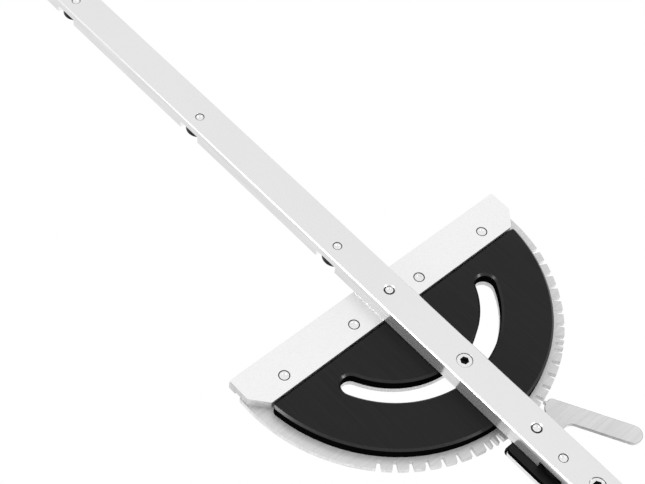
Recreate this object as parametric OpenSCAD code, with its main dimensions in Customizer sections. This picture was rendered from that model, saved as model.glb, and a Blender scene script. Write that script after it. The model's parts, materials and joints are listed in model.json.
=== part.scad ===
// Mitre gauge for a saw or router table: a guide bar, a pivoting half-round
// head with a fence rail, and a sprung lever that drops into a toothed plate.
// The bar's underside is z = 0, the head turns about the z axis, and the
// fence faces +Y. All sizes are in millimetres.

/* [Guide bar] */
// Width of the guide bar, which slides in a mitre slot
bar_w = 19; // [18.6:0.1:19.4]
// Thickness of the guide bar
bar_t = 9.5; // [9:0.1:10]
// Length of the guide bar
bar_l = 450; // [440:5:520]
// Length of bar behind the head's pivot
bar_rear = 165; // [164:1:175]
// Chamfer along the long edges of the bar
bar_chamfer = 0.5; // [0.2:0.1:0.8]

/* [Width adjusters] */
// Distance from the pivot to the nearest front adjuster
adjuster_first = 35.6; // [30:0.1:40]
// Spacing of the three front adjusters
adjuster_pitch = 107.7; // [100:0.1:112]
// Distance from the pivot back to the rear adjuster
adjuster_rear = 118.8; // [118:0.1:122]
// Offset of the adjusting screws from the bar's centre line
adjuster_offset = 2.1; // [1.8:0.1:2.4]
// Radius of the adjuster's split disc
disc_r = 6.7; // [6.5:0.1:6.8]
// How far a disc stands out of the bar's side
disc_proud = 0; // [0:0.1:0.4]

/* [Head] */
// Radius of the black head plate
head_r = 84; // [82:0.5:85]
// Thickness of the head plate
head_t = 6.35; // [6:0.05:6.5]
// Distance from the pivot back to the head plate's straight edge
head_edge = 8.1; // [7.8:0.1:9]
// Chamfer round the head plate and its arc slot
head_chamfer = 1.1; // [0.6:0.1:1.1]

/* [Fence rail] */
// Length of the fence rail
rail_l = 180.6; // [178:0.2:181]
// Distance from the pivot to the rail's front face
rail_front = 14.3; // [13.8:0.1:15]
// Distance from the pivot to the rail's rear edge
rail_back = 7.5; // [7:0.1:7.6]
// Thickness of the rail behind its front lip
rail_low_t = 4.75; // [4.5:0.05:5]
// Distance of the inner rail screws from the pivot
rail_screw_inner = 22.5; // [21:0.5:24]
// Distance of the outer rail screws from the pivot
rail_screw_outer = 68.2; // [66:0.1:70]

/* [Index plate] */
// Radius of the toothed index plate
index_r = 90.5; // [90:0.1:91]
// Thickness of the index plate
index_t = 3; // [2.8:0.1:3.2]
// Angle between stops
stop_step = 5; // [5, 7.5, 10]
// Furthest stop each way
stop_max = 60; // [30, 60]
// Depth of a notch
notch_depth = 4.3; // [3.5:0.1:4.4]
// Width of a notch at the rim
notch_mouth = 2.8; // [2.6:0.1:3]
// Width of a notch at its bottom
notch_root = 1.6; // [1.4:0.1:1.8]

/* [Lock slot] */
// Radius of the arc slot's middle line
slot_r = 52.4; // [52:0.1:53]
// Width of the arc slot
slot_w = 10.8; // [10.6:0.1:11.2]
// Angle of the slot's end centres from the middle
slot_end = 62.5; // [61:0.5:64]

/* [Index lever] */
// Distance from the head's pivot back to the lever's pivot
lever_pivot = 100; // [99.5:0.1:100.5]
// Angle of the pawl from the bar's centre line
pawl_angle = 14.3; // [14:0.1:14.6]
// How far the pawl enters a notch when the spring seats it
pawl_bite = 1.2; // [0.8:0.1:1.4]
// Thickness of the lever
lever_t = 2; // [1.8:0.1:2.2]
// Width of the lever's thumb arm
arm_w = 10.2; // [9:0.1:10.6]
// Angle of the thumb arm from the bar's line
arm_angle = 29.3; // [28.5:0.1:30]

/* [End block] */
// Width of the end block
block_w = 27.6; // [26:0.2:28]
// Distance from the head's pivot to the block's front edge
block_front = 96.1; // [95.5:0.1:96.5]
// Thickness of the black base block
block_t = 3.2; // [3:0.1:3.4]
// Thickness of the silver plate on it
shim_t = 2.8; // [2.6:0.1:2.8]
// Width of the cover and of the spacer under it
cover_w = 21; // [19:0.5:21]

/* [Handle] */
// Distance from the head's pivot back to the handle
handle_pivot = 138.4; // [136:0.1:140]
// Height of the handle above the cover
handle_h = 86; // [70:1:100]
// Largest radius of the handle
handle_r = 14.5; // [13:0.5:16]

/* [Lock knob] */
// Radius of the lock knob, which stays behind the fence face
knob_r = 12.5; // [11:0.5:13]
// Height of the lock knob
knob_h = 19; // [15:0.5:24]

/* [Hidden] */
$fn = 64;

eps = 0.01;                       // overlap for clean cuts
run = 0.05;                       // radial clearance of a turning fit
gap = 0.3;                        // clearance between parts that pass each other
end_step = 0.02;                  // how much narrower a slot's round ends are than its sides

// heights
head_z = bar_t + 0.15;            // head bears on the bar through a thin film
index_z = head_z + head_t;
index_top = index_z + index_t;
block_top = bar_t + block_t;
shim_top = block_top + shim_t;
lever_z = index_z + (index_t - lever_t) / 2;
washer_z = index_top + gap;
washer_t = 1.2;
knob_z = washer_z + washer_t + 0.05;
guide_top = index_z + 1.3;
cover_t = 2;
cover_z = index_top + gap;
cover_top = cover_z + cover_t;

// guide bar
bar_front = bar_l - bar_rear;
adjuster_y = [
    adjuster_first + 2 * adjuster_pitch,
    adjuster_first + adjuster_pitch,
    adjuster_first,
    -adjuster_rear
];
pocket_z = bar_t / 2;
pocket_r = 7;
disc_x = bar_w / 2 + disc_proud - disc_r;
disc_t = 3.4;
adjuster_thread_r = 2.4;
adjuster_head_r = 4;

// screws
screw_r = 2.9;                    // M6 shank of the rail's screws
bolt_r = 2.5;                     // M5 shank of the bolts and screws in the bar
flush_r = 1.65;                   // M3.5 shank of the countersunk screws
flush_head_r = 3.25;
flush_head_h = 1.6;
socket_head_r = 4.05;
socket_head_h = 5;
tap_z = 4.5;                      // depth where a cover screw's hole stops
pivot_r = 5;                      // bush that the head turns on

// rail
rail_half = rail_l / 2;
rail_corner = [rail_half - 7.7, 1.1];
rail_screw_x = [-rail_screw_outer, -rail_screw_inner, rail_screw_inner, rail_screw_outer];
rail_lip = rail_front - 4.5;
seat_front = 6.6;
rail_round = 1.2;
fence_hole_x = 60;
fence_hole_r = 1.65;
fence_hole_depth = 9;

// stops, each at an angle from the lever's pawl
stop_extra = 22.5;
stops = concat(
    [for (a = [-stop_max : stop_step : stop_max]) a],
    [-stop_extra, stop_extra]
);

// lever: its arm runs off along arm_dir, its neck joins it to the pivot
arm_dir = [-sin(arm_angle), -cos(arm_angle)];
arm_side = [cos(arm_angle), -sin(arm_angle)];
arm_offset = 25.2;
arm_start = arm_offset * arm_side + 94 * arm_dir;
arm_end = arm_offset * arm_side + 132.7 * arm_dir;
neck_end = [-25, -lever_pivot + 2];
neck_r = 6;
fillet_r = 5;
eye_r = 7.5;                      // round the lever's pivot
bush_r = 4;

// brass insert in the lock knob
insert_r = 5;
insert_h = 16;

// spring between the lever and the rear spacer
spring_x = -7;
spring_z = lever_z + lever_t / 2;
spring_r = 1.2;
spring_wire = 0.25;
spring_from = lever_pivot + neck_r + 0.05;
spacer_front = 116;
spring_turns = 7;

// screws of the end block's cover and of the pointer
cover_screw_x = [-5.5, 5.5];
cover_screw_y = -bar_rear + 9;
pointer_screw_y = -block_front - 13.5;

// plate screws, hidden from below, by radius and angle
plate_screw_r = 74;
plate_screw_angles = [-66, -25, 25, 66];

function polar(r, a) = [-r * sin(a), -r * cos(a)];

// The lever is drawn lifted, with its tooth just clear of the rim. Turning it
// back about its pivot seats the tooth and also moves it sideways by pawl_drift.
pawl_clear = 0.35;
pawl_lean = atan2(index_r * cos(pawl_angle) - lever_pivot, index_r * sin(pawl_angle)) + pawl_angle;
pawl_drift = (pawl_bite + pawl_clear) * tan(pawl_lean);

// Point w to the right of the tooth's middle, at radius r from the head's pivot
function pawl_point(w, r) =
    polar(r, pawl_angle) + (w + pawl_drift) * [cos(pawl_angle), -sin(pawl_angle)];

// Points along an arc of radius r about c
function arc_points(c, r, from, to, n = 12) = [
    for (i = [0 : n]) let (a = from + (to - from) * i / n) c + r * [cos(a), sin(a)]
];

// ---- shared shapes ----

// Plate standing on z, from an outline drawn as children
module plate(z, t) {
    translate([0, 0, z]) linear_extrude(t) children();
}

module hole(x, y, r, z, h) {
    translate([x, y, z]) cylinder(r = r, h = h);
}

// Rectangle with round corners, from corner a to corner b
module rounded_box(a, b, r) {
    hull() for (x = [a.x + r, b.x - r], y = [a.y + r, b.y - r])
        translate([x, y]) circle(r = r, $fn = 32);
}

// Countersunk screw with its head at the top and a hexagon socket in it
module flush_screw(z, top) {
    difference() {
        union() {
            hole(0, 0, flush_r, z, top - z);
            translate([0, 0, top - flush_head_h])
                cylinder(r1 = flush_r, r2 = flush_head_r, h = flush_head_h);
        }
        hex_socket(2, top - 1.2, 2);
    }
}

// Hole for a countersunk screw through a plate with its top at z = top
module flush_hole(z, top) {
    hole(0, 0, flush_r + run, z, top - z + 1);
    translate([0, 0, top - flush_head_h + eps])
        cylinder(r1 = flush_r + run, r2 = flush_head_r + run, h = flush_head_h);
}

// Shank with a small chamfer on its lower tip
module screw_shank(r, z, h, tip = 0.5) {
    translate([0, 0, z]) rotate_extrude()
        polygon([[0, 0], [r - tip, 0], [r, tip], [r, h], [0, h]]);
}

// Shank whose lower end has a shallow round dimple
module dimpled_shank(r, z, h, tip = 0.5) {
    difference() {
        screw_shank(r, z, h, tip);
        hole(0, 0, r * 0.45, z - 1, 1.4);
    }
}

// Hexagon socket cut into a head or a screw end
module hex_socket(across, z, depth) {
    translate([0, 0, z]) cylinder(r = across / sqrt(3), h = depth, $fn = 6);
}

// Low round head with a hexagon socket in its top
module button_head(r, z, h, across) {
    difference() {
        translate([0, 0, z]) rotate_extrude()
            polygon([[0, 0], [r, 0], [r, h * 0.45], [r * 0.8, h * 0.85], [r * 0.55, h], [0, h]]);
        hex_socket(across, z + h * 0.35, h);
    }
}

// Bolt with a sunk cap head at the bottom, its socket facing down
module sunk_bolt(top) {
    difference() {
        union() {
            screw_shank(socket_head_r, gap, socket_head_h, 0.4);
            hole(0, 0, bolt_r, 1, top - 1);
        }
        hex_socket(4, 0, 3.5);
    }
}

// Sector of a ring with round ends, cut through a plate, with a chamfer c round its lower edge
module arc_slot(z, t, c = 0) {
    half = slot_w / 2;
    rotate([0, 0, -90 - slot_end]) rotate_extrude(angle = 2 * slot_end, $fn = 180)
        translate([slot_r, z]) polygon([
            [-half - c - 1, -1], [half + c + 1, -1], [half, c],
            [half, t + 1], [-half, t + 1], [-half, c]
        ]);
    for (a = [-slot_end, slot_end]) translate(concat(polar(slot_r, a), [z])) rotate_extrude()
        polygon([
            [0, -1], [half - end_step + c + 1, -1], [half - end_step, c],
            [half - end_step, t + 1], [0, t + 1]
        ]);
}

// ---- guide bar and adjusters ----

module mitre_bar() {
    half = bar_w / 2;
    c = bar_chamfer;
    color("gainsboro") difference() {
        translate([0, bar_front, 0]) rotate([90, 0, 0]) linear_extrude(bar_l)
            polygon([
                [-half + c, 0], [half - c, 0], [half, c], [half, bar_t - c],
                [half - c, bar_t], [-half + c, bar_t], [-half, bar_t - c], [-half, c]
            ]);
        for (y = adjuster_y) {
            hole(adjuster_offset, y, adjuster_thread_r + run, -eps, bar_t);
            hole(disc_x, y, pocket_r, pocket_z, bar_t);
            translate([disc_x, y - pocket_r, pocket_z]) cube([bar_w, 2 * pocket_r, bar_t]);
        }
        for (y = [0, -lever_pivot]) {
            hole(0, y, bolt_r + run, -eps, bar_t + 1);
            translate([0, y, -eps]) cylinder(r1 = bolt_r + 0.6, r2 = bolt_r + run, h = 0.6);
        }
        for (y = [-slot_r, -handle_pivot]) {
            hole(0, y, socket_head_r + 0.1, -eps, socket_head_h + 0.4);
            hole(0, y, bolt_r + run, -eps, bar_t + 1);
        }
        for (x = cover_screw_x) hole(x, cover_screw_y, flush_r + run, tap_z, bar_t);
    }
}

module adjuster_disc(y) {
    color("#222222") difference() {
        hole(disc_x, y, disc_r, pocket_z + 0.1, disc_t);
        hole(adjuster_offset, y, adjuster_thread_r + run, 0, bar_t);
        translate([-10, y - 0.3, 0]) cube([10 + adjuster_offset, 0.6, bar_t]);
    }
}

module adjuster_screw(y) {
    color("silver") translate([adjuster_offset, y, 0]) difference() {
        union() {
            dimpled_shank(adjuster_thread_r, gap, pocket_z + disc_t + 0.5, 0.4);
            hole(0, 0, adjuster_head_r, pocket_z + disc_t + 0.15, 1);
        }
        hex_socket(2.5, pocket_z + disc_t - 0.2, 3);
    }
}

// ---- head: plate, rail and index plate turn together ----

// Outer corner of the head plate that the rounding takes away
module corner_waste(r) {
    cy = -head_edge - r;
    cx = sqrt(pow(head_r - r, 2) - cy * cy);
    k = head_r / (head_r - r);
    for (side = [0, 1]) mirror([side, 0]) difference() {
        polygon([[cx, cy], [cx, 0], [head_r + 2, 0], [head_r + 2, k * cy], [k * cx, k * cy]]);
        translate([cx, cy]) circle(r = r + 0.02);
    }
}

module head_plate() {
    c = head_chamfer;
    color("#262626") difference() {
        translate([0, 0, head_z]) rotate_extrude($fn = 240)
            polygon([[0, 0], [head_r - c, 0], [head_r, c], [head_r, head_t], [0, head_t]]);
        translate([-head_r - 1, -head_edge, head_z - 1]) cube([2 * head_r + 2, head_r + 20, head_t + 2]);
        translate([-head_r - 1, -head_edge, head_z - c]) rotate([45, 0, 0])
            cube([2 * head_r + 2, c * sqrt(2), c * sqrt(2)]);
        plate(head_z - 1, head_t + 2) corner_waste(3);
        arc_slot(head_z, head_t, c);
        for (a = plate_screw_angles) translate(concat(polar(plate_screw_r, a), [0]))
            hole(0, 0, flush_r + run, index_z - 4.5, 5);
    }
}

// Rail outline, drawn in by inset at its ends and rear edge
module rail_outline(inset, front) {
    r = rail_round;
    x = rail_half - inset - r;
    cx = rail_corner.x - inset * 0.8 - r * 0.4;
    hull() for (side = [-1, 1])
        for (p = [[x, front - r], [x, rail_corner.y - inset * 0.3 + 0.6], [cx, -rail_back + inset * 0.5 + r]])
            translate([side * p.x, p.y]) circle(r = r, $fn = 32);
}

module fence_rail() {
    color("whitesmoke") difference() {
        union() {
            plate(head_z, rail_low_t) rail_outline(0, rail_front);
            plate(head_z + rail_low_t - eps, head_t - rail_low_t + eps)
                rail_outline(1.4, seat_front);
            translate([-rail_half, rail_lip, head_z + rail_round])
                cube([rail_l, rail_front - rail_lip, head_t - rail_round]);
        }
        hole(0, 0, pivot_r + run, head_z - 1, head_t + 2);
        for (x = rail_screw_x) hole(x, 0, screw_r + run, head_z - 1, head_t + 2);
        for (x = [-fence_hole_x, fence_hole_x])
            translate([x, rail_front + eps, head_z + rail_low_t / 2]) rotate([90, 0, 0])
                cylinder(r = fence_hole_r, h = fence_hole_depth);
    }
}

// Notch seen along its own radius, pointing to -Y
module notch() {
    polygon([
        [-notch_mouth / 2 - 0.15, -index_r - 1], [notch_mouth / 2 + 0.15, -index_r - 1],
        [notch_root / 2, -index_r + notch_depth], [-notch_root / 2, -index_r + notch_depth]
    ]);
}

module index_plate() {
    color("silver") difference() {
        translate([0, 0, index_z]) cylinder(r = index_r, h = index_t, $fn = 240);
        translate([-index_r - 1, seat_front, index_z - 1]) cube([2 * index_r + 2, index_r, index_t + 2]);
        plate(index_z - 1, index_t + 2)
            for (s = stops) rotate([0, 0, -pawl_angle - s]) notch();
        arc_slot(index_z, index_t);
        hole(0, 0, pivot_r + run, index_z - 1, index_t + 2);
        for (x = rail_screw_x) hole(x, 0, screw_r + run, index_z - 1, index_t + 2);
        for (a = plate_screw_angles) translate(concat(polar(plate_screw_r, a), [0]))
            flush_hole(index_z - 1, index_top);
    }
}

module rail_screws() {
    color("silver") for (x = rail_screw_x) translate([x, 0, 0]) {
        dimpled_shank(screw_r, head_z + 0.15, index_top - head_z + 0.5);
        button_head(5, index_top, 2.6, 4);
    }
}

module plate_screws() {
    color("silver") for (a = plate_screw_angles)
        translate(concat(polar(plate_screw_r, a), [0])) flush_screw(index_z - 4, index_top);
}

// ---- pivot of the head ----

module pivot_bush() {
    color("goldenrod") difference() {
        hole(0, 0, pivot_r, bar_t, washer_z - bar_t);
        hole(0, 0, bolt_r + run, 0, washer_z + 1);
    }
}

module pivot_washer() {
    color("silver") difference() {
        hole(0, 0, 9, washer_z, washer_t);
        hole(0, 0, bolt_r + run, washer_z - 1, 4);
    }
}

// Stud that stands in the bar and carries the lock knob on its upper thread
module pivot_stud() {
    color("silver") dimpled_shank(bolt_r, gap, knob_z + insert_h - 1);
}

// ---- lock knob on the pivot stud ----

module lock_knob() {
    waist = 8;
    step_z = 3;
    edge = 1;
    lobes = 8;
    color("#1e1e1e") translate([0, 0, knob_z]) difference() {
        rotate_extrude()
            polygon(concat(
                [[0, 0], [waist - 0.5, 0], [waist, 0.5], [waist, step_z], [knob_r - edge, step_z],
                 [knob_r, step_z + edge], [knob_r, knob_h - 4]],
                [for (a = [15 : 15 : 75]) [knob_r - 4 + 4 * cos(a), knob_h - 4 + 4 * sin(a)]],
                [[knob_r - 4, knob_h], [0, knob_h]]
            ));
        hole(0, 0, insert_r, -1, insert_h + 1);
        for (i = [0 : lobes - 1]) rotate([0, 0, (i + 0.5) * 360 / lobes])
            hole(knob_r + 2.6, 0, 4, step_z - 0.5, knob_h);
    }
}

module knob_insert() {
    color("goldenrod") translate([0, 0, knob_z]) difference() {
        hole(0, 0, insert_r - run, 0, insert_h - 0.5);
        hole(0, 0, bolt_r + run, -1, insert_h + 1);
    }
}

// ---- guide: a bush in the arc slot, bolted from under the bar ----

module guide_bush() {
    color("silver") translate([0, -slot_r, 0]) difference() {
        hole(0, 0, slot_w / 2 - gap, bar_t, guide_top - bar_t);
        hole(0, 0, bolt_r + run, 0, cover_top);
    }
}

module guide_bolt() {
    color("silver") translate([0, -slot_r, 0]) sunk_bolt(guide_top - 0.4);
}

// ---- end block stack at the rear of the bar ----

module block_outline(width, front) {
    rounded_box([-width / 2, -bar_rear + 2], [width / 2, -front], 2);
}

// Holes that every plate of the stack shares
module stack_holes(z, t) {
    for (y = [-lever_pivot, -handle_pivot]) hole(0, y, bolt_r + run, z - 1, t + 2);
    for (x = cover_screw_x) hole(x, cover_screw_y, flush_r + run, z - 1, t + 2);
}

module end_block() {
    color("#262626") difference() {
        plate(bar_t, block_t) block_outline(block_w, block_front);
        stack_holes(bar_t, block_t);
    }
}

module shim_plate() {
    color("silver") difference() {
        plate(block_top, shim_t) block_outline(block_w, block_front);
        stack_holes(block_top, shim_t);
    }
}

module rear_spacer() {
    color("#262626") {
        difference() {
            plate(shim_top, cover_z - shim_top) block_outline(cover_w, spacer_front);
            stack_holes(shim_top, cover_z - shim_top);
        }
        translate([spring_x, -spacer_front - 1, spring_z]) rotate([-90, 0, 0])
            cylinder(r = spring_r - 2 * spring_wire - 0.1, h = 6);
    }
}

module cover_plate() {
    color("#262626") difference() {
        plate(cover_z, cover_t) block_outline(cover_w, block_front - 3);
        stack_holes(cover_z, cover_t);
        for (x = cover_screw_x) translate([x, cover_screw_y, 0]) flush_hole(cover_z - 1, cover_top);
        hole(0, pointer_screw_y, 1.1, cover_z - 1, cover_t + 2);
    }
}

module cover_screws() {
    color("silver") for (x = cover_screw_x)
        translate([x, cover_screw_y, 0]) flush_screw(tap_z + 0.5, cover_top);
}

// ---- index lever and its spring ----

module lever_bush() {
    color("goldenrod") translate([0, -lever_pivot, 0]) difference() {
        union() {
            hole(0, 0, bush_r, shim_top, cover_z - shim_top);
            hole(0, 0, 6, shim_top, lever_z - shim_top - 0.15);
        }
        hole(0, 0, bolt_r + run, 0, cover_top);
    }
}

module lever_screw() {
    color("silver") translate([0, -lever_pivot, 0]) {
        dimpled_shank(bolt_r, gap, cover_top + 1.5);
        button_head(5, cover_top + 1, 3, 4);
    }
}

// Neck, arm, finger and pawl tooth in one outline, without the eye round the pivot
function lever_outline() = let (
    pivot = [0, -lever_pivot],
    neck_dir = (neck_end - pivot) / norm(neck_end - pivot),
    neck_side = [-neck_dir.y, neck_dir.x],
    a = neck_r + fillet_r + neck_side * pivot,
    b = arm_offset + arm_w / 2 + fillet_r,
    det = neck_side.x * arm_side.y - neck_side.y * arm_side.x,
    fillet_centre = [(a * arm_side.y - b * neck_side.y) / det, (neck_side.x * b - arm_side.x * a) / det],
    tip_r = index_r + pawl_clear,
    shoulder_r = tip_r + pawl_bite + 0.1
) concat(
    [pivot - neck_r * neck_side],
    arc_points(arm_start, arm_w / 2, 22, 69),
    [
        pawl_point(0.8, shoulder_r), pawl_point(0.55, tip_r),
        pawl_point(-0.55, tip_r), pawl_point(-0.8, shoulder_r),
        polar(shoulder_r + 0.35, pawl_angle + 1.9),
        (arm_offset - arm_w / 2) * arm_side + 91.5 * arm_dir
    ],
    arc_points(arm_end, arm_w / 2, 180 - arm_angle, 360 - arm_angle, 24),
    arc_points(fillet_centre, fillet_r, 180 - arm_angle, atan2(-neck_side.y, -neck_side.x)),
    [pivot + neck_r * neck_side]
);

module index_lever() {
    color("silver") difference() {
        plate(lever_z, lever_t) {
            translate([0, -lever_pivot]) circle(r = eye_r);
            polygon(lever_outline());
        }
        hole(0, -lever_pivot, bush_r + run, lever_z - 1, lever_t + 2);
    }
}

// Coil spring along +Y, swept as a closed tube round a helix
function coil_point(i, n, len) = [
    (spring_r - spring_wire) * cos(360 * spring_turns * i / n),
    len * i / n,
    (spring_r - spring_wire) * sin(360 * spring_turns * i / n)
];

module coil_spring(len) {
    n = spring_turns * 12;
    sides = 6;
    points = [
        for (i = [0 : n]) let (c = coil_point(i, n, len), t = 360 * spring_turns * i / n)
            for (k = [0 : sides - 1]) let (a = 360 * k / sides)
                c + spring_wire * [cos(a) * cos(t), sin(a), cos(a) * sin(t)]
    ];
    faces = concat(
        [[for (k = [0 : sides - 1]) k]],
        [for (i = [0 : n - 1]) for (k = [0 : sides - 1]) let (m = (k + 1) % sides)
            each [[i * sides + k, (i + 1) * sides + k, (i + 1) * sides + m],
                  [i * sides + k, (i + 1) * sides + m, i * sides + m]]],
        [[for (k = [sides - 1 : -1 : 0]) n * sides + k]]
    );
    polyhedron(points, faces);
}

module lever_spring() {
    color("dimgray") translate([spring_x, -spacer_front + spring_wire + 0.05, spring_z])
        coil_spring(spacer_front - spring_from - 2 * spring_wire - 0.1);
}

// ---- pointer, handle ----

module pointer() {
    color("silver") difference() {
        plate(cover_top, 1) polygon([
            [-5, -block_front - 16], [5, -block_front - 16], [5, -block_front + 1], [2.5, -block_front + 5],
            [2.5, -84], [0, -80], [-2.5, -84], [-2.5, -block_front + 5], [-5, -block_front + 1]
        ]);
        hole(0, -lever_pivot, bolt_r + run, cover_top - 1, 4);
        hole(0, pointer_screw_y, 1.1, cover_top - 1, 3);
    }
}

module pointer_screws() {
    color("silver") translate([0, pointer_screw_y, 0]) {
        hole(0, 0, 1.05, cover_z + 0.3, 3);
        button_head(2, cover_top + 1, 1.2, 1.3);
    }
}

module handle() {
    h = handle_h;
    color("#1e1e1e") translate([0, -handle_pivot, cover_top]) difference() {
        rotate_extrude()
            polygon(concat(
                [[0, 0], [10, 0], [10, 3], [8.6, 5]],
                [for (i = [0 : 24]) let (u = i / 24)
                    [8.6 + (handle_r - 8.6) * sin(180 * pow(u, 0.75)) * 0.85 + 2.6 * u, 5 + (h - 13) * u]],
                [for (a = [0 : 10 : 90]) [(8.6 + 2.6) * cos(a), h - 8 + 8 * sin(a)]]
            ));
        hole(0, 0, 6, -1, 31);
    }
}

module handle_insert() {
    color("goldenrod") translate([0, -handle_pivot, cover_top]) difference() {
        hole(0, 0, 5.95, 0.1, 29);
        hole(0, 0, bolt_r + run, -1, 31);
    }
}

module handle_bolt() {
    color("silver") translate([0, -handle_pivot, 0]) sunk_bolt(cover_top + 24);
}

mitre_bar();
adjuster_disc(adjuster_y[0]);  // adjuster_disc_1
adjuster_disc(adjuster_y[1]);  // adjuster_disc_2
adjuster_disc(adjuster_y[2]);  // adjuster_disc_3
adjuster_disc(adjuster_y[3]);  // adjuster_disc_4
adjuster_screw(adjuster_y[0]);  // adjuster_screw_1
adjuster_screw(adjuster_y[1]);  // adjuster_screw_2
adjuster_screw(adjuster_y[2]);  // adjuster_screw_3
adjuster_screw(adjuster_y[3]);  // adjuster_screw_4
head_plate();
fence_rail();
index_plate();
rail_screws();
plate_screws();
pivot_bush();
pivot_washer();
pivot_stud();
lock_knob();
knob_insert();
guide_bush();
guide_bolt();
end_block();
shim_plate();
rear_spacer();
cover_plate();
cover_screws();
lever_bush();
lever_screw();
index_lever();
lever_spring();
pointer();
pointer_screws();
handle();
handle_insert();
handle_bolt();
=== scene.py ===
"""Looks of a mitre gauge, built round its CAD frame.

Every piece but the spring is a merged copy of a CAD node with its sharp edges broken, or a new piece that is
modelled on the frame's sizes; the spring keeps its CAD mesh. Lengths are in metres. The guide bar runs along
Y, and its underside is z = 0.
"""

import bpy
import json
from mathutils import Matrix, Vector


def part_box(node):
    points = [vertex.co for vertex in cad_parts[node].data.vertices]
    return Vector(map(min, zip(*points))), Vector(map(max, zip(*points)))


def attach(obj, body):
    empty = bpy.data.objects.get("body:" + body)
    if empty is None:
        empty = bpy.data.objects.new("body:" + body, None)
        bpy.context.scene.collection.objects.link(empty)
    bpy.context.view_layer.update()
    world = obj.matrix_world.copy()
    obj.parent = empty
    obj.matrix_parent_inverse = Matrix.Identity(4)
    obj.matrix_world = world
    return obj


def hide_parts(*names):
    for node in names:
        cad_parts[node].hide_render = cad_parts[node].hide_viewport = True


bl_info = {
    "name": "Mitre Gauge",
    "version": (1, 0, 0),
    "blender": (4, 5, 0),
    "location": "3D View > Sidebar > Mitre Gauge",
    "description": "Builds the finishes, the fine pieces and the studio of a mitre gauge",
    "category": "Object",
}

import json
import math

import bmesh
import bpy
from bpy.props import FloatProperty, FloatVectorProperty, IntProperty, PointerProperty
from mathutils import Matrix, Quaternion, Vector

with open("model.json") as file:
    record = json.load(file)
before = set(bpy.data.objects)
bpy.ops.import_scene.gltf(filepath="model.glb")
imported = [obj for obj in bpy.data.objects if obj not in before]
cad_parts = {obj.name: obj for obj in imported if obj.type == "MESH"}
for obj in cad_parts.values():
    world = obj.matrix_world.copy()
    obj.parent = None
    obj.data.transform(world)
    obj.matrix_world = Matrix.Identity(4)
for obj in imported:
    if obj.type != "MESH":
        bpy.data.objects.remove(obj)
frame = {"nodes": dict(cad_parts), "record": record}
BODIES = frame["record"]["behaviour"]["bodies"]
BODY_OF = {node: body for body, nodes in BODIES.items() for node in nodes}
SLOT_OF = {part["node"]: part["material_slot"] for part in frame["record"]["subparts"]}
MM = 0.001
MERGE_DISTANCE = 0.002 * MM  # mesh vertices closer than this are one vertex
FLAT_ANGLE = math.radians(0.6)  # faces that meet at less than this are one flat face
BEVEL_ANGLE = math.radians(35)  # sharper edges than this are broken
SHARP_ANGLE = math.radians(50)  # sharper edges than this stay crisp in the shading
SOCKET_REACH = 2.45 * MM  # no socket's corner is further from its screw's axis
SOCKET_CLEAR = 0.02 * MM  # a socket's faces are at least this far inside its screw's ends
SCALE_INSET = 6.2 * MM  # from the index plate's rim to the outer ends of the degree marks
TEN_DEGREE_MARK = 2.2  # length of each tenth mark, in one degree marks
FIVE_DEGREE_MARK = 1.6  # length of each fifth mark, in one degree marks
TEXT_SIZE = 1.4  # font size of a number, in heights of its digits
BORE_CLEARANCE = 0.05 * MM  # from the handle's insert to the grip round it
BORE_TOP = 1.9 * MM  # from the insert's end to the top of the grip's bore


# ---- settings that a user would change ----

def colour(name, description, value):
    """A colour property, with linear values from 0 to 1."""
    return FloatVectorProperty(
        name=name, description=description, default=value, subtype="COLOR", min=0, max=1, size=3
    )


def length(name, description, value):
    """A length property in metres."""
    return FloatProperty(
        name=name, description=description, default=value, min=0, unit="LENGTH", precision=5
    )


def grey(value):
    return (value, value, value)


def power(name, description, value):
    """A light's power in watts."""
    return FloatProperty(name=name, description=description, default=value, min=0, unit="POWER")


def count(name, description, value, least):
    """A whole number that is at least the given one."""
    return IntProperty(name=name, description=description, default=value, min=least)


class MitreFinishes(bpy.types.PropertyGroup):
    bar: colour("Guide bar", "Matte anodised aluminium of the guide bar", grey(0.75))
    # The sides' darker colour is painted shade; their smoother drawn finish is real.
    bar_side: colour("Bar sides", "Smoother drawn sides of the guide bar", grey(0.62))
    bar_edge: colour("Bar edges", "Cut chamfers along the guide bar", grey(0.74))
    rail: colour("Fence rail", "Bead-blasted aluminium of the fence rail", grey(0.84))
    rail_side: colour("Rail ends", "Sawn ends and edges of the fence rail", grey(0.52))
    black: colour("Black plates", "Black anodising of the head plate and the end block", grey(0.0055))
    steel: colour("Index plate", "Brushed steel of the index plate and the lever", grey(0.61))
    cut_steel: colour("Cut edges", "Laser-cut edges of the steel plates", grey(0.62))
    # Painted shade: the dark outlines on the broken corners of the steel plates.
    burnt_steel: colour("Burnt corners", "Corners that the laser darkened", grey(0.06))
    screw: colour("Screws", "Zinc-plated screws and washers", grey(0.80))
    spring: colour("Spring", "Drawn spring wire", (0.36, 0.36, 0.38))
    brass: colour("Bushes", "Turned brass of the bushes", (0.72, 0.52, 0.20))
    nylon: colour("Adjuster discs", "Black nylon of the width adjusters", grey(0.004))
    knob: colour("Lock knob", "Moulded plastic of the lock knob", grey(0.013))
    # Painted shade inside the screws' sockets and on their lower chamfers.
    socket: colour("Sockets", "Oiled hexagon sockets of the screws", grey(0.035))
    chamfer: colour("Black chamfers", "Thinner anodising on the chamfers of the black plates", grey(0.03))
    rubber: colour("Handle", "Moulded grip of the handle", (0.016, 0.016, 0.017))
    ink: colour("Scale", "Filled marks and numbers of the degree scale", grey(0.02))
    # Lighter broken edges: partly rubbed metal, partly a painted highlight along the edges.
    worn: FloatProperty(
        name="Worn edges", description="How much lighter the broken edges are", default=0.35, min=0, max=1
    )


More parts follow.
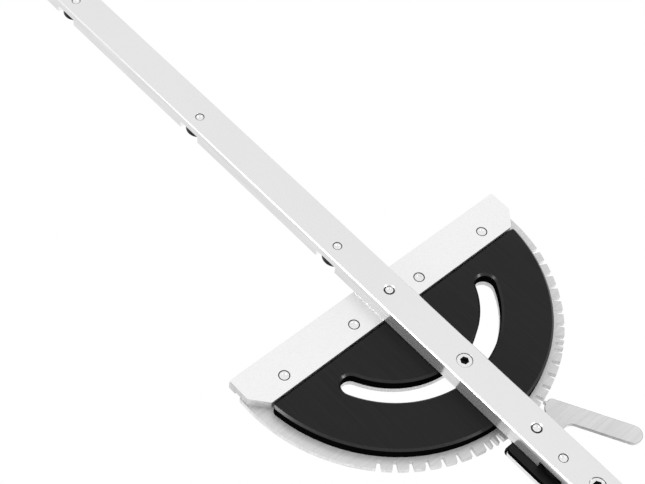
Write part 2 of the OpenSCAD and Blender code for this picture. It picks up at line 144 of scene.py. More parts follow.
class MitreDetails(bpy.types.PropertyGroup):
    edge: length("Broken edge", "Width of the broken edges of plates and blocks", 0.25 * MM)
    small_edge: length("Small edge", "Width of the broken edges of screws and bushes", 0.12 * MM)
    # The darkened corners of this width are painted shade.
    burnt_edge: length("Burnt edge", "Width of the darkened corners of laser-cut plates", 0.3 * MM)
    tick_w: length("Tick width", "Width of a degree mark", 0.22 * MM)
    tick_l: length("Tick length", "Length of a one degree mark", 2.2 * MM)
    number_h: length("Number height", "Height of the numbers on the scale", 3.4 * MM)
    ink_t: length("Ink height", "Height of the filled marks above the plate", 0.02 * MM)
    scale_end: count("Scale end", "Last degree on each side of the scale", 60, 10)
    grip_rings: count("Grip rings", "Number of grooves round the handle", 9, 0)


class MitreStudio(bpy.types.PropertyGroup):
    camera_at: FloatVectorProperty(
        name="Camera", description="Place of the camera", default=(0.34636, -0.25326, -0.60933),
        unit="LENGTH",
    )
    camera_to: FloatVectorProperty(
        name="Target", description="Point that the camera looks at", default=(0.00635, 0.04208, 0),
        unit="LENGTH",
    )
    camera_roll: FloatProperty(
        name="Roll", description="Turn of the camera about its view", default=math.radians(-171.646),
        unit="ROTATION",
    )
    lens: FloatProperty(
        name="Lens", description="Focal length on a 36 mm wide sensor", default=84.483, unit="CAMERA"
    )
    floor: colour("Floor", "Colour of the studio floor", grey(0.70))
    floor_size: length("Floor size", "Width of the studio floor", 6)
    ambient: FloatProperty(name="Ambient", description="Strength of the light all round", default=1.04, min=0)
    key: power("Key light", "Power of the large light above", 2.5)
    fill: power("Fill light", "Power of the light from the side", 1.5)
    rim: power("Rim lights", "Power of each of the two low lights that catch the chamfers", 7)


# ---- meshes ----

def merged_copy(node):
    """A bmesh of a CAD node, with its loose triangles merged and its flat faces whole."""
    bm = bmesh.new()
    bm.from_mesh(frame["nodes"][node].data)
    bmesh.ops.remove_doubles(bm, verts=bm.verts, dist=MERGE_DISTANCE)
    bmesh.ops.dissolve_limit(bm, angle_limit=FLAT_ANGLE, verts=bm.verts, edges=bm.edges, delimit=set())
    return bm


def break_edges(bm, width):
    """Rounds the sharp edges and marks the new faces, whose colour is then moved: lighter for rubbing and a
    painted highlight, darker for painted shade.
    """
    edge_wear_and_light = bm.faces.layers.float.get("edge_wear_and_light") or bm.faces.layers.float.new("edge_wear_and_light")
    sharp = [e for e in bm.edges if e.is_manifold and e.calc_face_angle() > BEVEL_ANGLE]
    made = bmesh.ops.bevel(
        bm, geom=sharp, offset=width, offset_type="OFFSET", segments=2, profile=0.5,
        affect="EDGES", clamp_overlap=True, material=-1,
    )
    for face in made["faces"]:
        face[edge_wear_and_light] = 1.0


def islands(bm):
    """Lists of vertices that hang together."""
    waiting, found = set(bm.verts), []
    while waiting:
        island, edge = [], [waiting.pop()]
        while edge:
            vert = edge.pop()
            island.append(vert)
            for other in (e.other_vert(vert) for e in vert.link_edges):
                if other in waiting:
                    waiting.remove(other)
                    edge.append(other)
        found.append(island)
    return found


def upright_axis(island):
    """Where the upright axis of a solid crosses the height z = 0."""
    xs = [v.co.x for v in island]
    ys = [v.co.y for v in island]
    return Vector(((min(xs) + max(xs)) / 2, (min(ys) + max(ys)) / 2, 0))


def mark_axes(bm):
    """Stores each vertex's place from the upright axis of its own solid, for turned finishes."""
    layer = bm.verts.layers.float_vector.new("from_axis")
    for island in islands(bm):
        axis = upright_axis(island)
        for vert in island:
            vert[layer] = vert.co - axis


def sides_to_second(bm, flatness=0.5):
    """Gives the upright faces the piece's second material."""
    for face in bm.faces:
        if abs(face.normal.z) < flatness:
            face.material_index = 1


def chamfers_to(bm, index):
    """Gives the sloped faces round the lower edges one of the piece's materials."""
    for face in bm.faces:
        if -0.9 < face.normal.z < -0.5:
            face.material_index = index


def sockets_to_second(bm):
    """Gives the faces inside each screw's hexagon sockets the piece's second material, whose dark colour is
    painted shade.
    """
    for island in islands(bm):
        low = min(v.co.z for v in island)
        high = max(v.co.z for v in island)
        axis = upright_axis(island)
        for face in {f for v in island for f in v.link_faces}:
            reach = max((Vector((v.co.x, v.co.y, 0)) - axis).length for v in face.verts)
            height = face.calc_center_median().z
            if reach < SOCKET_REACH and low + SOCKET_CLEAR < height < high - SOCKET_CLEAR:
                face.material_index = 1


def piece_from(bm, name, body, slot, *materials):
    """Turns a bmesh into a smooth piece that rides on a body."""
    bm.normal_update()
    for face in bm.faces:
        face.smooth = True
    mesh = bpy.data.meshes.new(name)
    bm.to_mesh(mesh)
    bm.free()
    mesh.set_sharp_from_angle(angle=SHARP_ANGLE)
    for material in materials:
        mesh.materials.append(material)
    piece = bpy.data.objects.new(name, mesh)
    bpy.context.scene.collection.objects.link(piece)
    even = piece.modifiers.new("Even shading", "WEIGHTED_NORMAL")
    even.keep_sharp = True
    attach(piece, body)
    return piece


def finished_node(node, width, *materials, turned=False, sides=False, mark=None):
    """Replaces a CAD node with its merged copy, edges broken, in its own finish."""
    bm = merged_copy(node)
    if mark:
        mark(bm)
    break_edges(bm, width)
    if turned:
        mark_axes(bm)
    if sides:
        sides_to_second(bm)
    piece = piece_from(bm, "finished_" + node, BODY_OF[node], SLOT_OF[node], *materials)
    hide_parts(node)
    return piece


def finished_screws(*nodes):
    """Replaces CAD screws with turned copies whose lower chamfers are dark with painted shade."""
    for node in nodes:
        finished_node(
            node, details().small_edge, screw_finish(), socket_finish(), turned=True,
            mark=lambda bm: chamfers_to(bm, 1),
        )


def finished_bolts(*nodes):
    """Replaces CAD cap bolts with turned copies that have painted shade in their sockets."""
    for node in nodes:
        finished_node(
            node, details().small_edge, screw_finish(), socket_finish(), turned=True, mark=sockets_to_second
        )


def finished_turnings(make, *nodes):
    """Replaces CAD bushes, washers and inserts with turned copies in one finish."""
    for node in nodes:
        finished_node(node, details().small_edge, make(), turned=True)


def clad_node(node, material):
    """Keeps a CAD node's own mesh and gives it a finish."""
    mesh = frame["nodes"][node].data
    mesh.materials.clear()
    mesh.materials.append(material)


def add_box(bm, size, place, turn=0.0):
    """Adds a box, turned about the z axis through the origin after it is placed."""
    corner = bmesh.ops.create_cube(bm, size=1)["verts"]
    bmesh.ops.scale(bm, vec=size, verts=corner)
    bmesh.ops.translate(bm, vec=place, verts=corner)
    bmesh.ops.rotate(bm, cent=(0, 0, 0), matrix=Matrix.Rotation(turn, 3, "Z"), verts=corner)


def add_spun(bm, profile, axis, steps=96):
    """Adds a closed solid turned from (radius, height) points that start and end on the axis."""
    verts = [bm.verts.new((axis[0] + r, axis[1], z)) for r, z in profile]
    edges = [bm.edges.new(pair) for pair in zip(verts, verts[1:])]
    bmesh.ops.spin(
        bm, geom=verts + edges, cent=(axis[0], axis[1], 0), axis=(0, 0, 1), angle=math.tau,
        steps=steps, use_merge=True,
    )
    bmesh.ops.remove_doubles(bm, verts=bm.verts, dist=MERGE_DISTANCE)
    bmesh.ops.recalc_face_normals(bm, faces=bm.faces)


# ---- materials ----

def add(tree, kind, inputs=None, **settings):
    """Adds a node, sets its properties and fills its inputs with values or links."""
    node = tree.nodes.new(kind)
    for key, value in settings.items():
        setattr(node, key, value)
    for key, value in (inputs or {}).items():
        if isinstance(value, bpy.types.NodeSocket):
            tree.links.new(value, node.inputs[key])
        else:
            node.inputs[key].default_value = value
    return node


def metal(name, base, metallic, roughness, specular=0.5, coat=0.0):
    """A material with a plain shader. The colour, roughness and normal are linked afterwards."""
    material = bpy.data.materials.new(name)
    material.use_nodes = True
    tree = material.node_tree
    shader = tree.nodes["Principled BSDF"]
    shader.inputs["Base Color"].default_value = (*base, 1)
    shader.inputs["Metallic"].default_value = metallic
    shader.inputs["Roughness"].default_value = roughness
    shader.inputs["Specular IOR Level"].default_value = specular
    shader.inputs["Coat Weight"].default_value = coat
    return material, tree, shader


def pattern(tree, scale, detail=3.0, roughness=0.6, source=None):
    """Noise over Object coordinates, or over another vector, stretched by a scale for each axis."""
    if source is None:
        source = add(tree, "ShaderNodeTexCoord").outputs["Object"]
    placed = add(tree, "ShaderNodeMapping", {"Vector": source, "Scale": scale})
    noise = add(
        tree, "ShaderNodeTexNoise",
        {"Vector": placed.outputs["Vector"], "Scale": 1.0, "Detail": detail, "Roughness": roughness},
    )
    return noise.outputs["Fac"]


def spread(tree, value, low, high, start=0.25, end=0.75):
    """Maps a noise value to the range from low to high."""
    node = add(
        tree, "ShaderNodeMapRange",
        {"Value": value, "From Min": start, "From Max": end, "To Min": low, "To Max": high},
    )
    return node.outputs["Result"]


def shade(tree, base, factor):
    """The base colour, darker or lighter by a factor."""
    node = add(tree, "ShaderNodeVectorMath", {0: base, "Scale": factor}, operation="SCALE")
    return node.outputs["Vector"]


def product(tree, a, b):
    return add(tree, "ShaderNodeMath", {0: a, 1: b}, operation="MULTIPLY").outputs["Value"]


def worn(tree, base, target, amount):
    """Mixes the base towards the target colour on the broken edges, in patches; a lighter target is partly
    rubbing and partly a painted highlight, a darker one is painted shade.
    """
    mark = add(tree, "ShaderNodeAttribute", attribute_name="edge_wear_and_light").outputs["Fac"]
    patches = spread(tree, pattern(tree, (180, 180, 180)), 0.5, 1.0)
    factor = product(tree, product(tree, mark, patches), amount)
    mix = add(tree, "ShaderNodeMix", {"Factor": factor}, data_type="RGBA")
    tree.links.new(base, mix.inputs["A"])
    mix.inputs["B"].default_value = (*target, 1)
    return mix.outputs["Result"]


def finish(tree, shader, base, roughness, height, depth):
    """Links the colour, the roughness and a bump whose full height is depth."""
    tree.links.new(base, shader.inputs["Base Color"])
    tree.links.new(roughness, shader.inputs["Roughness"])
    bump = add(tree, "ShaderNodeBump", {"Height": height, "Strength": 1.0, "Distance": depth})
    tree.links.new(bump.outputs["Normal"], shader.inputs["Normal"])


def blasted(name, base, edge_wear_and_light, grain=2600, contrast=0.05):
    """Anodised aluminium with the fine grain of bead blasting."""
    material, tree, shader = metal(name, base, 1.0, 0.42)
    speckle = pattern(tree, (grain, grain, grain), detail=2)
    cloud = pattern(tree, (14, 9, 14), detail=2)
    tone = product(
        tree, spread(tree, speckle, 1 - contrast, 1 + contrast), spread(tree, cloud, 0.985, 1.015)
    )
    lit = shade(tree, base, tone)
    # Lighter edges: rubbed metal and a painted highlight.
    bright = tuple(min(1.0, channel * 1.2) for channel in base)
    finish(
        tree, shader, worn(tree, lit, bright, edge_wear_and_light), spread(tree, speckle, 0.36, 0.5), speckle, 0.008 * MM
    )
    return material


def brushed(
    name, base, edge_wear_and_light, along="Y", metallic=1.0, rough=(0.28, 0.42), contrast=0.10, specular=0.5, edge_wear_and_light_to=None
):
    """Fine straight hairlines that run along one axis, with broken edges in their own tone."""
    material, tree, shader = metal(name, base, metallic, 0.35, specular)
    fine = 2400
    run = 45
    scale = (run, fine, fine) if along == "X" else (fine, run, fine)
    coarse = tuple(value * 0.35 for value in scale)
    hairs = pattern(tree, scale, detail=3)
    strokes = pattern(tree, coarse, detail=2)
    tone = product(
        tree, spread(tree, hairs, 1 - contrast, 1 + contrast),
        spread(tree, strokes, 1 - contrast / 2, 1 + contrast / 2),
    )
    lit = shade(tree, base, tone)
    # Edge target: lighter is rubbing and a painted highlight, darker is painted shade.
    target = edge_wear_and_light_to or tuple(min(1.0, channel * 1.25) for channel in base)
    finish(
        tree, shader, worn(tree, lit, target, edge_wear_and_light), spread(tree, hairs, rough[0], rough[1]), hairs,
        0.004 * MM,
    )
    return material


def laser_cut(name, base, metallic=1.0, rough=(0.4, 0.6), specular=0.5):
    """Cut edges with fine upright striations."""
    material, tree, shader = metal(name, base, metallic, 0.5, specular)
    lines = pattern(tree, (1800, 1800, 60), detail=2)
    burn = pattern(tree, (220, 220, 420), detail=3)
    tone = product(tree, spread(tree, lines, 0.82, 1.12), spread(tree, burn, 0.85, 1.1))
    finish(tree, shader, shade(tree, base, tone), spread(tree, burn, rough[0], rough[1]), lines, 0.01 * MM)
    return material


def turned(name, base, metallic=1.0, rough=(0.22, 0.36), pitch=0.16 * MM, contrast=0.07, specular=0.5):
    """Lathe rings round each solid's own axis."""
    material, tree, shader = metal(name, base, metallic, 0.3, specular)
    place = add(tree, "ShaderNodeAttribute", attribute_name="from_axis").outputs["Vector"]
    split = add(tree, "ShaderNodeSeparateXYZ", {"Vector": place})
    flat = add(tree, "ShaderNodeCombineXYZ", {"X": split.outputs["X"], "Y": split.outputs["Y"]})
    reach = add(tree, "ShaderNodeVectorMath", {0: flat.outputs["Vector"]}, operation="LENGTH")
    radius = reach.outputs["Value"]
    along = add(tree, "ShaderNodeMath", {0: radius, 1: split.outputs["Z"]}, operation="ADD").outputs["Value"]
    angle = product(tree, along, math.tau / pitch)
    ring = add(tree, "ShaderNodeMath", {0: angle}, operation="SINE").outputs["Value"]
    smudge = pattern(tree, (420, 420, 420), detail=3)
    tone = product(
        tree, spread(tree, ring, 1 - contrast, 1 + contrast, -1, 1), spread(tree, smudge, 0.93, 1.05)
    )
    lit = shade(tree, base, tone)
    # Lighter edges: rubbed metal and a painted highlight.
    bright = tuple(min(1.0, channel * 1.15) for channel in base)
    finish(
        tree, shader, worn(tree, lit, bright, 0.3), spread(tree, smudge, rough[0], rough[1]), ring, 0.003 * MM
    )
    return material


def moulded(name, base, grain=1500, rough=(0.5, 0.68), depth=0.02 * MM, specular=0.4):
    """Moulded plastic or rubber with a fine leathery grain."""
    material, tree, shader = metal(name, base, 0.0, 0.6, specular)
    place = add(tree, "ShaderNodeTexCoord").outputs["Object"]
    cells = add(tree, "ShaderNodeTexVoronoi", {"Vector": place, "Scale": grain}, feature="SMOOTH_F1")
    dust = pattern(tree, (260, 260, 260), detail=4)
    lit = shade(tree, base, spread(tree, dust, 0.8, 1.35))
    # Lighter edges: rubbing and a painted highlight.
    bright = tuple(channel * 2.5 for channel in base)
    finish(
        tree, shader, worn(tree, lit, bright, 0.25), spread(tree, dust, rough[0], rough[1]),
        cells.outputs["Distance"], depth,
    )
    return material


def wire(name, base):
    """Drawn spring wire with lengthwise die marks and light oil."""
    material, tree, shader = metal(name, base, 1.0, 0.3, coat=0.2)
    marks = pattern(tree, (3000, 500, 3000), detail=2)
    finish(
        tree, shader, shade(tree, base, spread(tree, marks, 0.8, 1.15)), spread(tree, marks, 0.2, 0.4), marks,
        0.003 * MM,
    )
    return material


def printed(name, base):
    """Paint that fills the scale's marks, a little uneven."""
    material, tree, shader = metal(name, base, 0.0, 0.6, 0.3)
    dots = pattern(tree, (3500, 3500, 3500), detail=2)
    finish(
        tree, shader, shade(tree, base, spread(tree, dots, 0.7, 1.6)), spread(tree, dots, 0.5, 0.75), dots,
        0.004 * MM,
    )
    return material


def finishes():
    return bpy.context.scene.mitre_finishes


def details():
    return bpy.context.scene.mitre_details


def material(name, make):
    """The material of that name, made the first time that a piece needs it."""
    return bpy.data.materials.get(name) or make(name)


def bar_finish():
    return material("bar_anodised", lambda n: blasted(n, tuple(finishes().bar), finishes().worn))


def bar_side_finish():
    # Darker than the bar's face: painted shade on the sides.
    return material("bar_drawn_side_painted_shade", lambda n: brushed(
        n, tuple(finishes().bar_side), 0.0, metallic=0.75, rough=(0.13, 0.22), contrast=0.12
    ))


def bar_edge_finish():
    return material("bar_bright_edge", lambda n: brushed(
        n, tuple(finishes().bar_edge), 0.0, rough=(0.3, 0.4), contrast=0.04
    ))


def rail_finish():
    return material("rail_blasted", lambda n: blasted(
        n, tuple(finishes().rail), 0.2, grain=2200, contrast=0.07
    ))


def rail_side_finish():
    return material("rail_sawn_side", lambda n: laser_cut(n, tuple(finishes().rail_side), metallic=0.7))


def black_finish():
    return material("black_brushed", lambda n: brushed(
        n, tuple(finishes().black), 0.5, metallic=0.0, rough=(0.3, 0.46), contrast=0.45, specular=0.2,
        edge_wear_and_light_to=(0.05, 0.05, 0.05),
    ))


def black_side_finish():
    # Walls darker than the faces: painted shade over real cut striations.
    return material("black_cut_side_painted_shade", lambda n: laser_cut(
        n, tuple(channel * 0.35 for channel in finishes().black), metallic=0.0, specular=0.0
    ))


def steel_finish():
    """For laser-cut plates, whose broken corners are darkened with painted shade."""
    return material("steel_brushed", lambda n: brushed(
        n, tuple(finishes().steel), 1.0, along="X", metallic=0.5, rough=(0.36, 0.5),
        edge_wear_and_light_to=tuple(finishes().burnt_steel),
    ))


def shim_finish():
    return material("steel_bright", lambda n: brushed(
        n, tuple(finishes().steel), finishes().worn, metallic=0.5, rough=(0.36, 0.5)
    ))


def cut_steel_finish():
    return material("steel_cut_side", lambda n: laser_cut(n, tuple(finishes().cut_steel), metallic=0.5))


def screw_finish():
    return material("screw_zinc", lambda n: turned(n, tuple(finishes().screw)))


def brass_finish():
    return material("brass_turned", lambda n: turned(n, tuple(finishes().brass), rough=(0.2, 0.32)))


def knob_finish():
    return material("knob_moulded", lambda n: moulded(
        n, tuple(finishes().knob), grain=1900, rough=(0.38, 0.52), depth=0.012 * MM
    ))


def socket_finish():
    # Dark colour that paints the shade in sockets and on screw chamfers.
    return material("socket_painted_shade", lambda n: laser_cut(
        n, tuple(finishes().socket), metallic=0.6, rough=(0.35, 0.55), specular=0.3
    ))


def black_chamfer_finish():
    return material("black_chamfer", lambda n: brushed(
        n, tuple(finishes().chamfer), 0.2, metallic=0.9, rough=(0.24, 0.34), contrast=0.2
    ))


def nylon_finish():
    return material("nylon_turned", lambda n: turned(
        n, tuple(finishes().nylon), metallic=0.0, rough=(0.4, 0.55), contrast=0.2, specular=0.1
    ))


def rubber_finish():
    return material("rubber_moulded", lambda n: moulded(n, tuple(finishes().rubber)))


def spring_finish():
    return material("spring_wire", lambda n: wire(n, tuple(finishes().spring)))


def ink_finish():
    return material("scale_ink", lambda n: printed(n, tuple(finishes().ink)))


# ---- operators, one for each piece or group of like pieces ----

class MITRE_OT_guide_bar(bpy.types.Operator):
    """Finish the long bar that slides in the mitre slot"""
    bl_idname = "mitre.guide_bar"
    bl_label = "Guide Bar"

    def execute(self, context):
        bm = merged_copy("mitre_bar")
        sides_to_second(bm)
        chamfers_to(bm, 2)
        break_edges(bm, details().small_edge)
        bar = piece_from(
            bm, "finished_mitre_bar", "guide_bar", "bar_aluminium",
            bar_finish(), bar_side_finish(), bar_edge_finish(),
        )
        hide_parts("mitre_bar")
        return {"FINISHED"}


class MITRE_OT_adjusters(bpy.types.Operator):
    """Finish the four nylon discs in the bar's side and the screws that spread them"""
    bl_idname = "mitre.adjusters"
    bl_label = "Width Adjusters"

    def execute(self, context):
        for node in sorted(frame["nodes"]):
            if node.startswith("adjuster_disc"):
                finished_node(node, details().small_edge, nylon_finish(), turned=True)
            elif node.startswith("adjuster_screw"):
                finished_screws(node)
        return {"FINISHED"}


class MITRE_OT_head_plate(bpy.types.Operator):
    """Finish the black half-round plate with its arc slot"""
    bl_idname = "mitre.head_plate"
    bl_label = "Head Plate"

    def execute(self, context):
        bm = merged_copy("head_plate")
        break_edges(bm, details().small_edge)
        sides_to_second(bm)
        chamfers_to(bm, 2)
        plate = piece_from(
            bm, "finished_head_plate", "head", "black_anodised",
            black_finish(), black_side_finish(), black_chamfer_finish(),
        )
        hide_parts("head_plate")
        return {"FINISHED"}


class MITRE_OT_fence_rail(bpy.types.Operator):
    """Finish the rail whose front face is the fence"""
    bl_idname = "mitre.fence_rail"
    bl_label = "Fence Rail"

    def execute(self, context):
        finished_node("fence_rail", details().edge, rail_finish(), rail_side_finish(), sides=True)
        return {"FINISHED"}


class MITRE_OT_index_plate(bpy.types.Operator):
    """Finish the toothed plate that the lever's pawl drops into"""
    bl_idname = "mitre.index_plate"
    bl_label = "Index Plate"

    def execute(self, context):
        finished_node("index_plate", details().burnt_edge, steel_finish(), cut_steel_finish(), sides=True)
        return {"FINISHED"}


class MITRE_OT_degree_scale(bpy.types.Operator):
    """Add the degree marks and numbers on top of the index plate"""
    bl_idname = "mitre.degree_scale"
    bl_label = "Degree Scale"

    def execute(self, context):
        sizes = details()
        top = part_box("index_plate")[1].z
        rim = -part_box("index_plate")[0].y - SCALE_INSET
        bm = bmesh.new()
        for degree in range(-sizes.scale_end, sizes.scale_end + 1):
            marks = TEN_DEGREE_MARK if degree % 10 == 0 else FIVE_DEGREE_MARK if degree % 5 == 0 else 1
            long = sizes.tick_l * marks
            add_box(bm, (sizes.tick_w, long, 2 * sizes.ink_t), (0, long / 2 - rim, top), math.radians(degree))
        middle = rim - sizes.tick_l * TEN_DEGREE_MARK - sizes.number_h * 0.8
        for degree in range(-sizes.scale_end, sizes.scale_end + 1, 10):
            self.add_number(bm, abs(degree), degree, middle, top)
        piece_from(bm, "degree_scale", "head", "black_anodised", ink_finish())
        return {"FINISHED"}

    def add_number(self, bm, number, degree, radius, top):
        """Adds a number that reads from the handle's side, at an angle on the scale."""
        text = bpy.data.curves.new("number", "FONT")
        text.body = str(number)
        text.size = details().number_h * TEXT_SIZE
        text.align_x = "CENTER"
        text.align_y = "CENTER"
        text.extrude = details().ink_t
        holder = bpy.data.objects.new("number", text)
        bpy.context.scene.collection.objects.link(holder)
        mesh = bpy.data.meshes.new_from_object(holder.evaluated_get(bpy.context.evaluated_depsgraph_get()))
        mesh.transform(Matrix.Rotation(math.radians(degree), 4, "Z") @ Matrix.Translation((0, -radius, top)))
        bm.from_mesh(mesh)
        bpy.data.objects.remove(holder)
        bpy.data.curves.remove(text)
        bpy.data.meshes.remove(mesh)


class MITRE_OT_head_screws(bpy.types.Operator):
    """Finish the screws that hold the rail, the head plate and the index plate together"""
    bl_idname = "mitre.head_screws"
    bl_label = "Head Screws"

    def execute(self, context):
        finished_screws("rail_screws", "plate_screws")
        return {"FINISHED"}


class MITRE_OT_pivot(bpy.types.Operator):
    """Finish the bush, washer and stud that the head turns on"""
    bl_idname = "mitre.pivot"
    bl_label = "Head Pivot"

    def execute(self, context):
        finished_turnings(brass_finish, "pivot_bush")
        finished_turnings(screw_finish, "pivot_washer")
        finished_screws("pivot_stud")
        return {"FINISHED"}


class MITRE_OT_lock(bpy.types.Operator):
    """Finish the knob that clamps the head, with its brass insert"""
    bl_idname = "mitre.lock"
    bl_label = "Lock Knob"

    def execute(self, context):
        finished_node("lock_knob", 2 * details().edge, knob_finish())
        finished_turnings(brass_finish, "knob_insert")
        return {"FINISHED"}


class MITRE_OT_guide(bpy.types.Operator):
    """Finish the bush that runs in the arc slot, and its bolt"""
    bl_idname = "mitre.guide"
    bl_label = "Slot Guide"

    def execute(self, context):
        finished_turnings(screw_finish, "guide_bush")
        finished_bolts("guide_bolt")
        return {"FINISHED"}


class MITRE_OT_end_block(bpy.types.Operator):
    """Finish the stack of plates at the rear of the bar"""
    bl_idname = "mitre.end_block"
    bl_label = "End Block"

    def execute(self, context):
        for node in ("end_block", "rear_spacer", "cover_plate"):
            finished_node(node, details().edge, black_finish(), black_side_finish(), sides=True)
        finished_node("shim_plate", details().edge, shim_finish())
        finished_bolts("cover_screws")
        return {"FINISHED"}


class MITRE_OT_lever(bpy.types.Operator):
    """Finish the index lever with its bush, screw and spring, and the pointer above it"""
    bl_idname = "mitre.lever"
    bl_label = "Index Lever"

    def execute(self, context):
        finished_node("index_lever", details().burnt_edge, steel_finish(), cut_steel_finish(), sides=True)
        finished_turnings(brass_finish, "lever_bush")
        finished_screws("lever_screw", "pointer_screws")
        finished_node("pointer", details().small_edge, steel_finish(), cut_steel_finish(), sides=True)
        clad_node("lever_spring", spring_finish())
        return {"FINISHED"}


class MITRE_OT_handle(bpy.types.Operator):
    """Make the ringed grip, and finish its insert and bolt"""
    bl_idname = "mitre.handle"
    bl_label = "Handle"

    def execute(self, context):
        low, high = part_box("handle")
        middle = (low + high) / 2
        insert_low, insert_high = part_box("handle_insert")
        bore = (insert_high.x - insert_low.x) / 2 + BORE_CLEARANCE
        deep = insert_high.z + BORE_TOP
        bm = bmesh.new()
        add_spun(bm, self.profile(low.z, high.z, (high.x - low.x) / 2, bore, deep), (middle.x, middle.y))
        mark_axes(bm)
        bm.faces.layers.float.new("edge_wear_and_light")
        grip = piece_from(bm, "handle_grip", BODY_OF["handle"], SLOT_OF["handle"], rubber_finish())
        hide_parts("handle")
        finished_turnings(brass_finish, "handle_insert")
        finished_bolts("handle_bolt")
        return {"FINISHED"}

    def profile(self, bottom, top, widest, bore, deep):
        """Radius and height of points up the grip: bore, foot, waist, ringed swell and domed end."""
        foot = widest * 0.70
        waist = widest * 0.60
        neck = 5 * MM
        dome = 9 * MM
        chamfer = 0.5 * MM
        points = [
            (0, deep), (bore, deep), (bore, bottom), (foot - chamfer, bottom), (foot, bottom + chamfer),
            (foot, bottom + neck * 0.6), (waist, bottom + neck),
        ]
        span = top - dome - bottom - neck
        rings = details().grip_rings
        steps = 120
        for i in range(1, steps + 1):
            u = i / steps
            swell = waist + (widest - waist) * math.sin(math.pi * min(1, u * 0.94) ** 0.78) ** 0.8 * 0.98
            swell = max(swell, waist + (widest * 0.86 - waist) * u)
            groove = 0.0
            if 0.16 < u < 0.86:
                groove = 0.45 * MM * max(0.0, math.cos((u - 0.16) / 0.70 * rings * math.tau)) ** 4
            points.append((min(swell, widest) - groove, bottom + neck + span * u))
        end = points[-1][0]
        for angle in range(6, 91, 6):
            t = math.radians(angle)
            points.append((end * math.cos(t), top - dome + dome * math.sin(t)))
        return points[:-1] + [(0, top)]


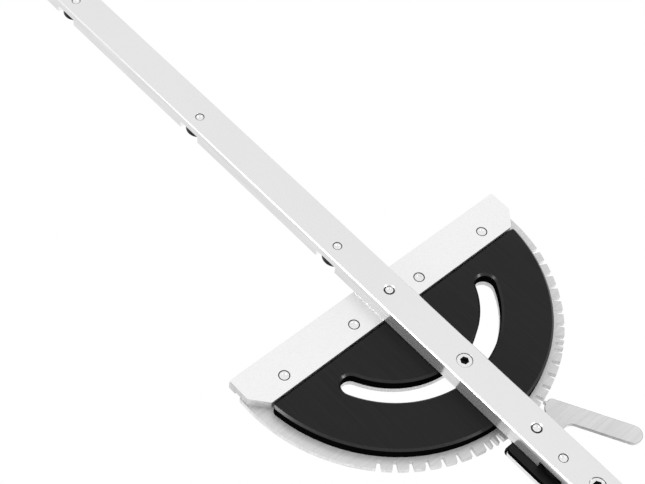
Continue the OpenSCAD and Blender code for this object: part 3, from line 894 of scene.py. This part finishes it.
class MITRE_OT_stage(bpy.types.Operator):
    """Add the camera, the floor, the lights and the light all round"""
    bl_idname = "mitre.stage"
    bl_label = "Studio"

    def execute(self, context):
        studio = context.scene.mitre_studio
        self.add_camera(context.scene, studio)
        self.add_floor(studio)
        self.add_light("key_light", (-0.9, -0.8, 1.3), 1.2, studio.key)
        self.add_light("fill_light", (1.2, -0.6, 0.7), 1.0, studio.fill)
        self.add_light("right_rim_light", (1.13, 0.29, -0.49), 0.35, studio.rim)
        self.add_light("rear_rim_light", (-0.46, -1.14, -0.34), 0.35, studio.rim)
        self.add_world(context.scene, studio)
        context.scene.view_settings.view_transform = "Standard"
        return {"FINISHED"}

    def add_camera(self, scene, studio):
        data = bpy.data.cameras.new("camera")
        data.lens = studio.lens
        data.sensor_width = 36
        data.sensor_fit = "HORIZONTAL"
        data.clip_start = 0.02
        data.clip_end = 50
        camera = bpy.data.objects.new("camera", data)
        view = Vector(studio.camera_to) - Vector(studio.camera_at)
        camera.location = studio.camera_at
        camera.rotation_mode = "QUATERNION"
        roll = Quaternion((0, 0, 1), studio.camera_roll)
        camera.rotation_quaternion = view.to_track_quat("-Z", "Y") @ roll
        scene.collection.objects.link(camera)
        scene.camera = camera

    def add_floor(self, studio):
        """A floor that shows only from above, because the bar's underside is seen from below it."""
        bm = bmesh.new()
        bmesh.ops.create_grid(bm, x_segments=2, y_segments=2, size=studio.floor_size / 2)
        bmesh.ops.translate(bm, vec=(0, 0, -0.1 * MM), verts=bm.verts)
        mesh = bpy.data.meshes.new("floor")
        bm.to_mesh(mesh)
        bm.free()
        floor = bpy.data.objects.new("floor", mesh)
        bpy.context.scene.collection.objects.link(floor)
        stuff, tree, shader = metal("studio_floor", tuple(studio.floor), 0.0, 0.8, 0.2)
        side = add(tree, "ShaderNodeNewGeometry").outputs["Backfacing"]
        mix = add(tree, "ShaderNodeMixShader", {0: side, 1: shader.outputs["BSDF"]})
        tree.links.new(add(tree, "ShaderNodeBsdfTransparent").outputs["BSDF"], mix.inputs[2])
        tree.links.new(mix.outputs["Shader"], tree.nodes["Material Output"].inputs["Surface"])
        mesh.materials.append(stuff)
        floor.visible_shadow = False
        floor.visible_diffuse = False
        floor.visible_glossy = False

    def add_light(self, name, place, size, power):
        data = bpy.data.lights.new(name, "AREA")
        data.energy = power
        data.size = size
        light = bpy.data.objects.new(name, data)
        light.location = place
        light.rotation_mode = "QUATERNION"
        light.rotation_quaternion = (-Vector(place)).to_track_quat("-Z", "Y")
        bpy.context.scene.collection.objects.link(light)

    def add_world(self, scene, studio):
        """White behind the object, and a softer light all round it."""
        world = bpy.data.worlds.new("studio_world")
        world.use_nodes = True
        tree = world.node_tree
        seen = add(tree, "ShaderNodeLightPath").outputs["Is Camera Ray"]
        strength = add(tree, "ShaderNodeMapRange", {"Value": seen, "To Min": studio.ambient, "To Max": 1.0})
        background = tree.nodes["Background"]
        background.inputs["Color"].default_value = (1, 1, 1, 1)
        tree.links.new(strength.outputs["Result"], background.inputs["Strength"])
        scene.world = world


OPERATORS = (
    MITRE_OT_guide_bar,
    MITRE_OT_adjusters,
    MITRE_OT_head_plate,
    MITRE_OT_fence_rail,
    MITRE_OT_index_plate,
    MITRE_OT_degree_scale,
    MITRE_OT_head_screws,
    MITRE_OT_pivot,
    MITRE_OT_lock,
    MITRE_OT_guide,
    MITRE_OT_end_block,
    MITRE_OT_lever,
    MITRE_OT_handle,
    MITRE_OT_stage,
)


class MITRE_PT_panel(bpy.types.Panel):
    """Buttons for the gauge's pieces, and its settings"""
    bl_idname = "MITRE_PT_panel"
    bl_label = "Mitre Gauge"
    bl_space_type = "VIEW_3D"
    bl_region_type = "UI"
    bl_category = "Mitre Gauge"

    def draw(self, context):
        column = self.layout.column(align=True)
        for operator in OPERATORS:
            column.operator(operator.bl_idname)
        scene = context.scene
        for settings in (scene.mitre_finishes, scene.mitre_details, scene.mitre_studio):
            box = self.layout.box()
            for name in settings.bl_rna.properties.keys():
                if name not in {"rna_type", "name"}:
                    box.prop(settings, name)


CLASSES = (MitreFinishes, MitreDetails, MitreStudio, *OPERATORS, MITRE_PT_panel)


def register():
    for cls in CLASSES:
        bpy.utils.register_class(cls)
    bpy.types.Scene.mitre_finishes = PointerProperty(type=MitreFinishes)
    bpy.types.Scene.mitre_details = PointerProperty(type=MitreDetails)
    bpy.types.Scene.mitre_studio = PointerProperty(type=MitreStudio)


def unregister():
    del bpy.types.Scene.mitre_studio
    del bpy.types.Scene.mitre_details
    del bpy.types.Scene.mitre_finishes
    for cls in reversed(CLASSES):
        bpy.utils.unregister_class(cls)


def main():
    register()
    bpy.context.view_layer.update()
    for operator in OPERATORS:
        group, name = operator.bl_idname.split(".")
        getattr(getattr(bpy.ops, group), name)()


if __name__ == "__main__":
    main()
